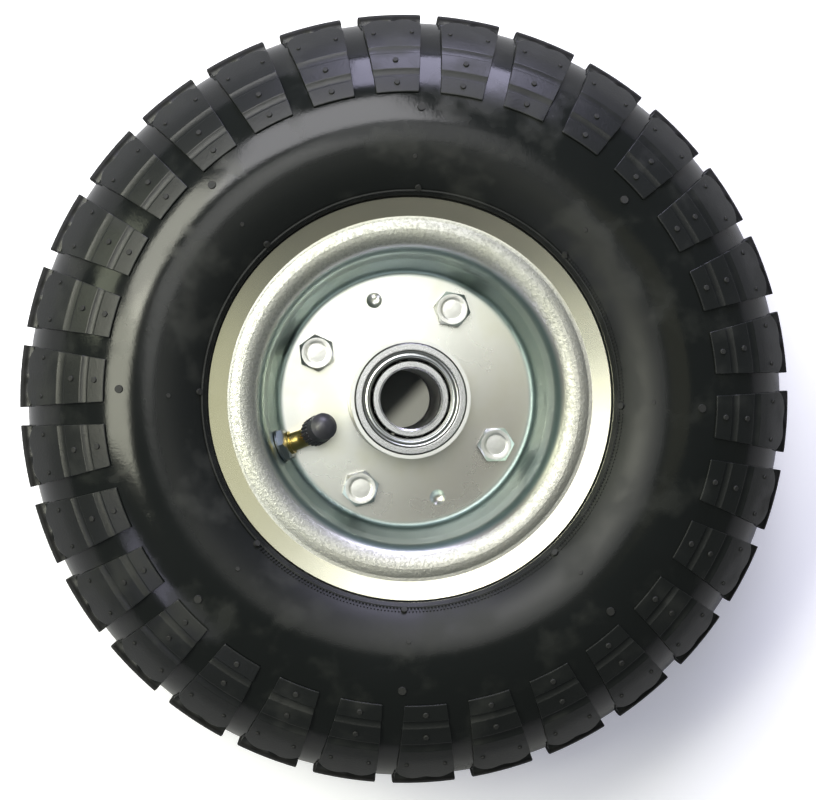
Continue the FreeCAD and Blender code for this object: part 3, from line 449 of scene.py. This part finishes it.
def finished(shape, name, material, body, smooth_below=35):
    """Merges, turns the faces outwards, shades and hands over a piece of the object."""
    bmesh.ops.remove_doubles(shape, verts=shape.verts, dist=1e-6)
    bmesh.ops.recalc_face_normals(shape, faces=shape.faces)
    mesh = bpy.data.meshes.new(name)
    shape.to_mesh(mesh)
    shape.free()
    mesh.materials.append(material)
    piece = bpy.data.objects.new(name, mesh)
    bpy.context.scene.collection.objects.link(piece)
    mesh.shade_smooth()
    mesh.set_sharp_from_angle(angle=math.radians(smooth_below))
    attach(piece, body)
    return piece


ground = ring_steel("ground_ring", (0.84, 0.84, 0.85), 0.16, 1700, RING_SEAMS)
pressed = ring_steel("pressed_shield", (0.60, 0.62, 0.62), 0.24, 1700, SHIELD_SEAMS)
polished = ring_steel("polished_ball", (0.88, 0.88, 0.89), 0.06, 900)
for side in ("near", "far"):
    dress(ground, f"{side}_inner_ring", f"{side}_outer_ring")
    dress(pressed, f"{side}_inner_shield", f"{side}_cage")
    dress(polished, f"{side}_balls")
for side, way in (("near", 1), ("far", -1)):
    section = [(r, way * (FACE_Z + drop)) for r, drop in shield_line]
    shield = section_mesh(section, FULL_TURN, SHIELD_STEPS)
    shield = finished(shield, f"{side}_shield_ridges", pressed, "wheel", 50)
    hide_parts(f"{side}_outer_shield")


# Rim bolts, spring washers and nuts. Cold-formed steel with bright zinc; a band of painted shadow
# darkens the heads' sides from the disc up to near their corners.
# The heads have turned-off corners and a dished top. Rings at the thread's pitch stand for the
# thread on the shanks.
BOLTS, BOLT_CIRCLE_R, BOLT_ANGLE, DISC_FACE_Z = 4, 34.0, 42.3, 2.0
HEAD_TURN, HEAD_TURN_STEP = 12, 17
FLATS, HEAD_HIGH, FACE_R, CORNER_SLOPE = 11.0, 4.0, 5.1, 0.62
CORNER_R = FLATS / 2 / math.cos(math.pi / 6)
HEAD_SIDE = CORNER_R - 0.3
SHANK_R, SHANK_LONG, BOLT_STEPS = 3.17, 13.2, 72
PITCH, THREAD_DEEP, THREAD_START = 1.27, 0.55, 0.5
POINT_LONG, POINT_DEEP = 0.9, 0.8
SHADOW_LOW, SHADOW_HIGH, SHADOW_SOFT = 0.0016, 0.0052, 0.0004


def bolt_zinc():
    finish = Finish("bolt_zinc")
    _, _, z, _ = finish.axes()
    cloud = finish.noise(180, 4, 0.6)
    pits = finish.noise(900, 2)
    tone = finish.mix(cloud, colour(0.66, 0.66, 0.63), colour(0.88, 0.88, 0.85))
    # Painted shadow: a dark band up the heads' sides, from the disc to near their tops.
    shadow = z.band(SHADOW_LOW, SHADOW_HIGH, SHADOW_SOFT)
    finish.feed(
        Base_Color=finish.mix(shadow * 0.75, tone, colour(0.12, 0.12, 0.11)),
        Metallic=1.0,
        Roughness=0.24 + pits * 0.16,
        Normal=finish.bump(pits + cloud * 0.8, 0.00005, 0.5),
    )
    return finish.material


def on_hexagon(angle):
    """The distance from a hexagon's middle to its side, with a corner at the angle 0."""
    return FLATS / 2 / math.cos((angle % (math.pi / 3)) - math.pi / 6)


def cut_hexagon(bolt):
    """Draws the head's round side in to six flats, and slopes its top down to their corners."""
    for vert in bolt.verts:
        r = math.hypot(vert.co.x, vert.co.y) / MM
        if r > HEAD_SIDE:
            angle = math.atan2(vert.co.y, vert.co.x)
            flat = on_hexagon(angle) - (CORNER_R - r)
            high = vert.co.z / MM
            if high > HEAD_HIGH / 2:
                high -= max(flat - FACE_R, 0.0) * CORNER_SLOPE
            vert.co = (flat * MM * math.cos(angle), flat * MM * math.sin(angle), high * MM)


bolt_line = [(0, 3.9), (3.0, 3.89), (3.5, 3.86), (3.8, 3.97), (4.0, HEAD_HIGH)]
bolt_line += [(FACE_R, HEAD_HIGH), (CORNER_R, HEAD_HIGH)]
bolt_line += [(CORNER_R, 0.1), (CORNER_R - 0.2, 0.0), (SHANK_R, 0.0)]
for n in range(round((SHANK_LONG - THREAD_START - POINT_LONG) / PITCH)):
    crest = -THREAD_START - n * PITCH
    bolt_line += [(SHANK_R, crest), (SHANK_R - THREAD_DEEP, crest - PITCH / 2)]
bolt_line += [(SHANK_R, POINT_LONG - SHANK_LONG)]
bolt_line += [(SHANK_R - POINT_DEEP, -SHANK_LONG), (0, -SHANK_LONG)]
fastener = bolt_zinc()
for n in range(BOLTS):
    bolt = section_mesh(bolt_line, FULL_TURN, BOLT_STEPS, loop=False)
    cut_hexagon(bolt)
    own_turn = Matrix.Rotation(math.radians(HEAD_TURN + n * HEAD_TURN_STEP), 4, "Z")
    round_axle = Matrix.Rotation(math.radians(BOLT_ANGLE + 90 * n), 4, "Z")
    seat = Matrix.Translation((BOLT_CIRCLE_R * MM, 0, DISC_FACE_Z * MM))
    bmesh.ops.transform(bolt, matrix=round_axle @ seat @ own_turn, verts=bolt.verts)
    bolt = finished(bolt, f"rim_bolt_{n + 1}", fastener, "wheel", 28)
    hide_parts(f"bolt_{n + 1}")
    dress(fastener, f"bolt_{n + 1}", f"lock_washer_{n + 1}", f"nut_{n + 1}")


# Valve. A bent brass stem with a brass core and pin in its mouth, a steel washer and nut that hold
# it on the drop wall, and a black moulded dust cap with a rubber seal.
def brass():
    finish = Finish("valve_brass")
    cloud = finish.noise(240, 4, 0.6)
    stain = finish.noise(90, 3).rise(0.5, 0.72)
    clean = finish.mix(cloud, colour(0.42, 0.31, 0.09), colour(0.66, 0.52, 0.19))
    finish.feed(
        Base_Color=finish.mix(stain * 0.7, clean, colour(0.30, 0.22, 0.10)),
        Metallic=1.0,
        Roughness=0.2 + cloud * 0.14 + stain * 0.15,
        Normal=finish.bump(cloud, 0.00005, 0.4),
    )
    return finish.material


def cap_plastic():
    finish = Finish("cap_plastic")
    haze = finish.noise(700, 3)
    finish.feed(
        Base_Color=finish.mix(haze, colour(0.018, 0.018, 0.022), colour(0.035, 0.035, 0.04)),
        Roughness=0.34 + haze * 0.14,
        Normal=finish.bump(haze, 0.00003, 0.4),
    )
    return finish.material


dress(brass(), "valve_stem", "valve_core", "valve_pin")
dress(ring_steel("valve_fixing", (0.42, 0.43, 0.43), 0.3, 2400), "valve_washer", "valve_nut")
dress(cap_plastic(), "valve_cap", "cap_seal")


# Core spring. A coil of fine steel wire that stands round the valve pin, inside the core, with its
# foot at the spring's lowest point along the valve's mouth.
COIL_R, WIRE_R, WIRE_SIDES = 0.9, 0.15, 10
COIL_TURNS, COIL_RISE, STEPS_A_TURN, PRESSED = 4, 3.6, 20, 0.64
COIL_STEPS = COIL_TURNS * STEPS_A_TURN
mouth_axis = Vector((-0.343241735, -0.084565303, 0.935432425))
coil_points = [vert.co for vert in nodes["core_spring"].data.vertices]
coil_middle = sum(coil_points, Vector()) / len(coil_points)
foot_height = min(point.dot(mouth_axis) for point in coil_points)
coil_foot = coil_middle + mouth_axis * (foot_height - coil_middle.dot(mouth_axis))
coil = bmesh.new()
wire = bmesh.ops.create_circle(coil, cap_ends=False, radius=WIRE_R * MM, segments=WIRE_SIDES)
wire_start = Matrix.Translation((COIL_R * MM, 0, WIRE_R * MM))
stand_up = wire_start @ Matrix.Rotation(math.pi / 2, 4, "X")
bmesh.ops.transform(coil, matrix=stand_up, verts=wire["verts"])
bmesh.ops.spin(
    coil,
    geom=coil.verts[:] + coil.edges[:],
    cent=(0, 0, 0),
    axis=(0, 0, 1),
    dvec=(0, 0, COIL_RISE * MM / COIL_STEPS),
    angle=COIL_TURNS * FULL_TURN,
    steps=COIL_STEPS,
)
wire_ends = [edge for edge in coil.edges if len(edge.link_faces) == 1]
bmesh.ops.holes_fill(coil, edges=wire_ends, sides=0)
lean_in = mouth_axis.to_track_quat("Z", "Y").to_matrix().to_4x4()
bmesh.ops.transform(coil, matrix=Matrix.Translation(coil_foot) @ lean_in, verts=coil.verts)
spring_wire = ring_steel("spring_wire", (0.56, 0.56, 0.55), 0.24, 900)
coil = finished(coil, "core_spring_coil", spring_wire, "wheel")
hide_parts("core_spring")
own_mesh(coil)
dress(spring_wire, "core_spring")


# Tyre. Moulded black rubber: a smooth carcass with a fine line beside the flange, and thirty
# straight lugs, each with two ledges on a shoulder and a crown row parted off by a ragged groove.
# Vent stubs stand on both. Its bead is seated on the rim by the tube's pressure.
TYRE_R, TYRE_HALF, GROOVE = 130.0, 42.5, 2.8
CARCASS_R = TYRE_R - GROOVE - TYRE_HALF
LOWER_ARC, WALL, LOWER_Z = 25.0, 4.5, 17.5
BEAD_TOE, BEAD_SEAT_R, HEEL_R = (49.6, 17.5), 50.12, 5.25
LIP_R, LIP_Z = 66.8, 30.0
LINE_R, LINE_WIDE, LINE_HIGH = 68.2, 0.8, 0.8
HOLLOW_TOE, HOLLOW_REACH = (52.0, 17.5), 18.5
TREAD_ARC = 42.3
TREAD_R = TYRE_R - TREAD_ARC
DULL_IN, DULL_OUT = 0.1266, 0.1276
FOOT_IN, FOOT_OUT = 0.078, 0.088


def tyre_rubber(name, gloss, grain, shine, worn_crown):
    """Rubber that is smooth as moulded, or also worn dull on its crown."""
    finish = Finish(name)
    _, _, _, radius = finish.axes()
    foot = 1 - radius.rise(FOOT_IN, FOOT_OUT)
    cloud = finish.noise(22, 4, 0.55)
    skin = finish.noise(1100, 3, 0.6)
    dust = finish.noise(60, 3, 0.55).rise(0.5, 0.72)
    base = finish.mix(cloud, colour(0.004, 0.005, 0.0045), colour(0.008, 0.009, 0.009))
    tone = finish.mix(dust * 0.3, base, colour(0.035, 0.037, 0.032))
    rough = gloss + cloud * 0.08 + dust * 0.18 + foot * 0.3
    if worn_crown:
        dull = radius.rise(DULL_IN, DULL_OUT)
        tone = finish.mix(dull, tone, colour(0.006, 0.006, 0.006))
        rough = rough + dull * 0.5
    finish.feed(
        Base_Color=tone,
        Specular_IOR_Level=shine,
        Roughness=rough,
        Normal=finish.bump(skin * grain + cloud * 0.0002, 1.0),
    )
    return finish.material


def cut_rubber():
    finish = Finish("cut_rubber")
    haze = finish.noise(1500, 3)
    finish.feed(
        Base_Color=finish.mix(haze, colour(0.005, 0.006, 0.005), colour(0.012, 0.012, 0.011)),
        Roughness=0.6 + haze * 0.2,
        Normal=finish.bump(haze, 0.00006),
    )
    return finish.material


def on_arc(centre, radius, turn):
    """A point of a section, in millimetres, at some degrees from the outward direction."""
    angle = math.radians(turn)
    return (centre[0] + radius * math.cos(angle), centre[1] + radius * math.sin(angle))


def arc(centre, radius, start, end, steps):
    turns = [start + (end - start) * n / steps for n in range(steps + 1)]
    return [on_arc(centre, radius, turn) for turn in turns]


def lower_z(r):
    """The height of the sidewall at a radius inside its widest place."""
    return LOWER_Z + math.sqrt(LOWER_ARC**2 - (CARCASS_R - r) ** 2)


def lower_turn(r):
    return math.degrees(math.acos((r - CARCASS_R) / LOWER_ARC))


def upper_z(r):
    """The height of the carcass at a radius outside its widest place."""
    return math.sqrt(TYRE_HALF**2 - (r - CARCASS_R) ** 2)


def there_and_back(half):
    return half + [(r, -z) for r, z in reversed(half) if z > 0]


line_in, line_out = LINE_R - LINE_WIDE / 2, LINE_R + LINE_WIDE / 2
line_top = lower_z(LINE_R) + LINE_HIGH
line_side = lower_z(LINE_R) + LINE_HIGH * 0.75
outside = (
    [BEAD_TOE]
    + arc((BEAD_SEAT_R + HEEL_R, LIP_Z - HEEL_R), HEEL_R, 180, 90, 6)
    + [(LIP_R, LIP_Z), (LIP_R, lower_z(LIP_R)), (line_in, lower_z(line_in))]
    + [(line_in, line_side), (LINE_R - LINE_WIDE / 4, line_top)]
    + [(LINE_R + LINE_WIDE / 4, line_top), (line_out, line_side)]
    + arc((CARCASS_R, LOWER_Z), LOWER_ARC, lower_turn(line_out), 90, 12)
    + arc((CARCASS_R, 0), TYRE_HALF, 84, 0, 28)
)
inside_arc = LOWER_ARC - WALL
hollow_turn = math.degrees(math.acos(-HOLLOW_REACH / inside_arc))
hollow = (
    [HOLLOW_TOE]
    + arc((CARCASS_R, LOWER_Z), inside_arc, hollow_turn, 90, 6)
    + arc((CARCASS_R, 0), TYRE_HALF - WALL, 80, 0, 9)
)
LUGS, LUG_END_R, LUG_SPAN, LUG_STEPS = 30, 100.0, math.radians(9.3), 20
carcass_section = there_and_back(outside) + [(r, -z) for r, z in there_and_back(hollow)]
carcass_shape = section_mesh(carcass_section, FULL_TURN, LUGS * 8)

# One lug is drawn as a section from its inner end, over the shoulder's two ledges, to the crown,
# and closed at its root inside the carcass. Its edges are then bent, and it is copied round.
GAP_CROWN, GAP_SHOULDER = 6.1, 7.2
END_DEEP, END_EDGE, END_EDGE_R = 3.2, 0.2, 100.3
PAD_IN, PAD_OUT = 102.0, 121.0
LEDGE_IN, LEDGE_OUT, LEDGE_WIDE, LEDGE_DEEP = 106.8, 114.8, 2.6, 0.8
LEDGE_WALL, LEDGE_FLOOR = 0.05, 0.3
BLOCK_EDGE, BLOCK_LIP, BLOCK_FOOT, RIB_FOOT, RIB_LIP = 17.4, 15.8, 14.8, 12.5, 12.0
CROWN_DEEP, BLOCK_DROP, RIB_DROP, RIB_TOP = 2.4, 0.7, 0.2, 11.1
ROOT_ARC, ROOT_TURNS = 40.6, (66, 40, 0)
SCALLOP_HALF, SCALLOP_HIGH, CORNER_BACK, RAGGED_HIGH = 0.4, 0.7, 4.9, 0.55
NEAR, SKIN_DEEP = 0.1, 3


def at_radius(r, depth=0.0):
    """A point of the tread's arc at a radius, or under it by the depth of a groove."""
    return (r, math.sqrt((TREAD_ARC - depth) ** 2 - (r - TREAD_R) ** 2))


def at_height(z, depth=0.0):
    """A point of the crown at a height from the middle plane, or under it by a groove's depth."""
    return (TREAD_R + math.sqrt((TREAD_ARC - depth) ** 2 - z * z), z)


def on_tread(r):
    return at_radius(r)[1]


def pad(start, end, steps):
    """The smooth top of a block, between two radii."""
    return [at_radius(start + (end - start) * n / steps) for n in range(steps + 1)]


def ledge(r):
    """A groove with a steep inner wall and a narrow floor. Its outer side climbs as a ledge."""
    wall_foot = r - LEDGE_WIDE / 2 + LEDGE_WALL
    return [at_radius(wall_foot, LEDGE_DEEP), at_radius(r - LEDGE_FLOOR, LEDGE_DEEP)]


def scallop(across):
    """How far the block's edge leaves its mean height: a dip in the middle between two humps, and
    cut-back corners."""
    if abs(across) < SCALLOP_HALF:
        return SCALLOP_HIGH * math.cos(math.pi * across / SCALLOP_HALF)
    beyond = (abs(across) - SCALLOP_HALF) / (1 - SCALLOP_HALF)
    return CORNER_BACK * beyond**2 - SCALLOP_HIGH


def ragged(across):
    """The rib's edge runs in and out a little, three times over the lug."""
    return RAGGED_HIGH * math.cos(3 * math.pi * across) * math.cos(math.pi * across / 2)


lug_side = (
    [(LUG_END_R, on_tread(LUG_END_R) - END_DEEP), (LUG_END_R, on_tread(LUG_END_R) - END_EDGE)]
    + [at_radius(END_EDGE_R)]
    + pad(PAD_IN, LEDGE_IN - LEDGE_WIDE / 2, 1)
    + ledge(LEDGE_IN)
    + pad(LEDGE_IN + LEDGE_WIDE / 2, LEDGE_OUT - LEDGE_WIDE / 2, 2)
    + ledge(LEDGE_OUT)
    + pad(LEDGE_OUT + LEDGE_WIDE / 2, PAD_OUT, 2)
    + [at_height(BLOCK_EDGE), at_height(BLOCK_LIP, BLOCK_DROP), at_height(BLOCK_FOOT, CROWN_DEEP)]
    + [at_height(RIB_FOOT, CROWN_DEEP), at_height(RIB_LIP, RIB_DROP), at_height(RIB_TOP)]
    + [at_height(4.5), at_height(0)]
)
root = [on_arc((CARCASS_R, 0), ROOT_ARC, turn) for turn in ROOT_TURNS]
lug_section = there_and_back(lug_side) + [(r, -z) for r, z in there_and_back(root)]
lug = section_mesh(lug_section, LUG_SPAN, LUG_STEPS)
lug_ends = [edge for edge in lug.edges if len(edge.link_faces) == 1]
bmesh.ops.holes_fill(lug, edges=lug_ends, sides=0)
for vert in lug.verts:
    r = math.hypot(vert.co.x, vert.co.y) / MM
    z = vert.co.z / MM
    across = math.atan2(vert.co.y, vert.co.x) / (LUG_SPAN / 2)
    depth = TREAD_ARC - math.hypot(r - TREAD_R, z)
    on_crown = abs(z) < BLOCK_EDGE + NEAR and depth < SKIN_DEEP
    if BLOCK_FOOT - NEAR < abs(z) < BLOCK_EDGE + NEAR:
        z = math.copysign(abs(z) + scallop(across), z)
    elif RIB_TOP - NEAR < abs(z) < RIB_FOOT + NEAR:
        z = math.copysign(abs(z) + ragged(across), z)
    if on_crown:
        r = TREAD_R + math.sqrt((TREAD_ARC - depth) ** 2 - z * z)
    gap = GAP_CROWN + (GAP_SHOULDER - GAP_CROWN) * abs(z) / TYRE_HALF
    reach = math.pi / LUGS - math.asin(gap / 2 / r)
    vert.co = (r * MM * math.cos(across * reach), r * MM * math.sin(across * reach), z * MM)

# Vent stubs are short pins cut off square: on the lugs' pads and beside the crown's groove, and on
# the sidewall every eighth of a turn, in three rows.
STUB_SIDES, STUB_TAPER = 12, 0.86
PAD_STUB_RADII, EDGE_STUB_R, EDGE_STUB_TURN = (111.0, 103.3), 121.2, math.radians(3.0)
STUBS, STUB_START, SMALL_STUB_TURN = 8, 22.5, 0.02
SHOULDER_STUB_R, SMALL_STUB_R, LINE_STUB_R = 95.0, 79.0, LINE_R + 1.0


def arc_centre(r):
    """The centre of the arc that the rubber's surface follows at a radius."""
    if r >= LUG_END_R:
        return Vector((TREAD_R, 0, 0))
    if r >= CARCASS_R:
        return Vector((CARCASS_R, 0, 0))
    return Vector((CARCASS_R, 0, LOWER_Z))


def stub(shape, r, z, turn, radius, height):
    """A vent stub that stands straight up from the rubber, with the second material."""
    foot = Vector((r, 0, abs(z)))
    normal = (foot - arc_centre(r)).normalized()
    if z < 0:
        foot.z, normal.z = -foot.z, -normal.z
    made = bmesh.ops.create_cone(
        shape,
        cap_ends=True,
        segments=STUB_SIDES,
        radius1=radius * MM,
        radius2=radius * STUB_TAPER * MM,
        depth=height * 2 * MM,
    )
    tilt = normal.to_track_quat("Z", "Y").to_matrix().to_4x4()
    place = Matrix.Rotation(turn, 4, "Z") @ Matrix.Translation(foot * MM) @ tilt
    bmesh.ops.transform(shape, matrix=place, verts=made["verts"])
    for face in {face for vert in made["verts"] for face in vert.link_faces}:
        face.material_index = 1


for side in (1, -1):
    for r in PAD_STUB_RADII:
        stub(lug, r, side * on_tread(r), 0, 1.05, 0.55)
    for turn in (-EDGE_STUB_TURN, EDGE_STUB_TURN):
        stub(lug, EDGE_STUB_R, side * on_tread(EDGE_STUB_R), turn, 0.8, 0.4)
for side in (1, -1):
    for n in range(STUBS):
        turn = math.radians(STUB_START + 360 / STUBS * n)
        small_turn = turn + SMALL_STUB_TURN
        stub(carcass_shape, SHOULDER_STUB_R, side * upper_z(SHOULDER_STUB_R), turn, 1.5, 0.7)
        stub(carcass_shape, SMALL_STUB_R, side * lower_z(SMALL_STUB_R), small_turn, 0.8, 0.4)
        stub(carcass_shape, LINE_STUB_R, side * lower_z(LINE_STUB_R), turn, 1.2, 0.9)

# Short ticks cross the fine line over half the way round.
TICKS, TICK_START, TICK_R, TICK_LEAN = 190, 22.5, LINE_R + 0.9, math.radians(-35)
TICK_SIZE = (1.5 * MM, 0.45 * MM, 0.9 * MM, 1.0)
for side in (1, -1):
    for n in range(TICKS):
        turn = math.radians(TICK_START + 180 * n / TICKS)
        tick = bmesh.ops.create_cube(carcass_shape, size=1.0)
        stand = Matrix.Translation((TICK_R * MM, 0, side * lower_z(TICK_R) * MM))
        lean = Matrix.Rotation(side * TICK_LEAN, 4, "Y")
        place = Matrix.Rotation(turn, 4, "Z") @ stand @ lean @ Matrix.Diagonal(TICK_SIZE)
        bmesh.ops.transform(carcass_shape, matrix=place, verts=tick["verts"])

one_lug = lug.verts[:] + lug.edges[:] + lug.faces[:]
for n in range(1, LUGS):
    copy = bmesh.ops.duplicate(lug, geom=one_lug)
    copied = [item for item in copy["geom"] if isinstance(item, bmesh.types.BMVert)]
    round_axle = Matrix.Rotation(FULL_TURN * n / LUGS, 3, "Z")
    bmesh.ops.rotate(lug, verts=copied, cent=(0, 0, 0), matrix=round_axle)
EDGE_ROUND, EDGE_SHARP = 0.00022, math.radians(32)
rubber = tyre_rubber("tyre_rubber", 0.08, 0.00002, 0.3, worn_crown=False)
lug_rubber = tyre_rubber("lug_rubber", 0.33, 0.00006, 0.36, worn_crown=True)
stub_rubber = cut_rubber()
tread = finished(lug, "tread_lugs", lug_rubber, "wheel", 30)
tread.data.materials.append(stub_rubber)
edge_round = tread.modifiers.new("moulded_edges", "BEVEL")
edge_round.width = EDGE_ROUND
edge_round.segments = 2
edge_round.limit_method = "ANGLE"
edge_round.angle_limit = EDGE_SHARP
edge_round.harden_normals = False
carcass = finished(carcass_shape, "tyre_carcass", rubber, "wheel")
carcass.data.materials.append(stub_rubber)
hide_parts("tyre")
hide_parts("tyre")


# Inner tube. A soft black butyl ring that fills the tyre's hollow and carries the valve stem. It is
# hidden, and held by its own pressure.
def tube_rubber():
    finish = Finish("tube_rubber")
    haze = finish.noise(120, 4)
    finish.feed(
        Base_Color=finish.mix(haze, colour(0.012, 0.012, 0.012), colour(0.03, 0.03, 0.03)),
        Roughness=0.5 + haze * 0.15,
        Normal=finish.bump(haze, 0.0002, 0.4),
    )
    return finish.material


dress(tube_rubber(), "inner_tube")
